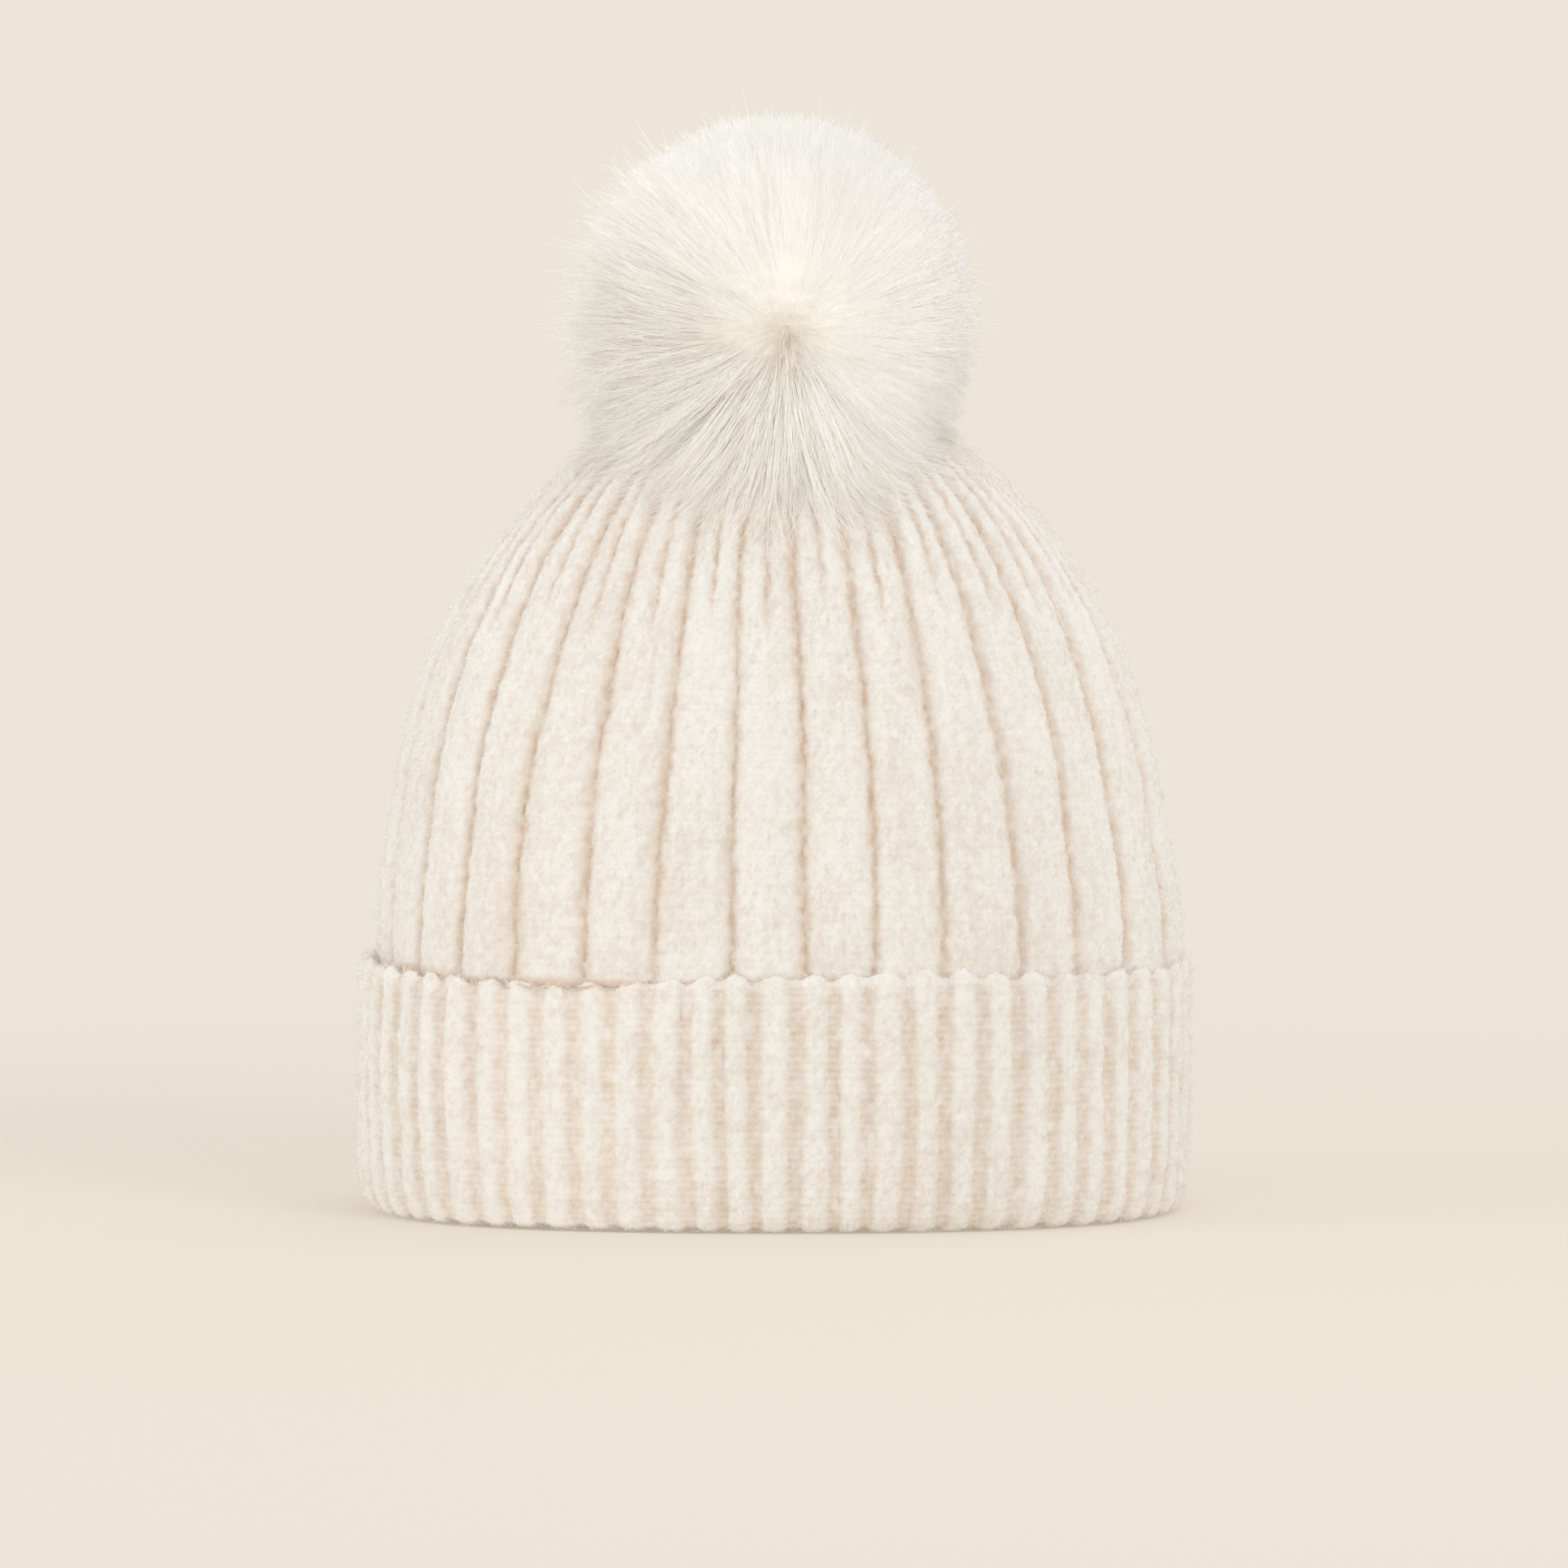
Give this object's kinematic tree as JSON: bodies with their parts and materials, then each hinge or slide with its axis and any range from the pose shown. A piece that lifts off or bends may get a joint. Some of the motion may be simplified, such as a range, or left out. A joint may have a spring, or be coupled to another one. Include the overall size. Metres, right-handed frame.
{
  "type": "pom pom beanie",
  "caption": "Cream ribbed wool beanie with a turned-up band and a white fur pom-pom held on the crown by a press stud, opened out as on a head.",
  "frame": {"origin": "centre of the head opening, in the plane of the band's lower fold", "axes": "+Z from the head opening up to the pom-pom, X along the width of the band, -Y towards the viewer of the front"},
  "size_m": [0.22, 0.166, 0.288],
  "materials": {
    "crown_wool": "matte",
    "band_wool": "matte",
    "yarn": "matte",
    "felt": "matte",
    "thread": "satin",
    "snap_metal": "satin",
    "spring_wire": "satin",
    "disc_plastic": "matte",
    "backing_cloth": "matte",
    "wadding": "matte",
    "fur": "matte",
    "label_satin": "satin"
  },
  "bodies": {
    "hat": {"crown_knit": "crown_wool", "cuff_knit": "band_wool", "cuff_linking_yarn": "yarn", "crown_gather_yarn": "yarn", "crown_felt_disc": "felt", "care_label": "label_satin", "label_thread": "thread"},
    "anchor": {"anchor_button": "disc_plastic"},
    "socket": {"shank_thread": "thread", "snap_socket": "snap_metal"},
    "spring": {"snap_spring": "spring_wire"},
    "pompom": {"snap_stud": "snap_metal", "stud_thread": "thread", "pompom_base_disc": "disc_plastic", "pompom_drawstring": "thread", "pompom_backing": "backing_cloth", "pompom_stuffing": "wadding", "pompom_fur": "fur"}
  },
  "joints": [
    {"name": "pompom_nod", "type": "hinge", "parent": "hat", "child": "anchor", "pos_m": [0, 0, 0.1998], "axis": [1, 0, 0], "range_deg": [-12, 7]},
    {"name": "pompom_sway", "type": "hinge", "parent": "anchor", "child": "socket", "pos_m": [0, 0, 0.1998], "axis": [0, 1, 0], "range_deg": [-12, 12]},
    {"name": "pompom_spin", "type": "hinge", "parent": "socket", "child": "spring", "pos_m": [0, 0, 0.212], "axis": [0, 0, 1], "continuous": true},
    {"name": "pompom_pull_off", "type": "slide", "parent": "spring", "child": "pompom", "axis": [0, 0, 1], "range_m": [0, 0.03]}
  ]
}
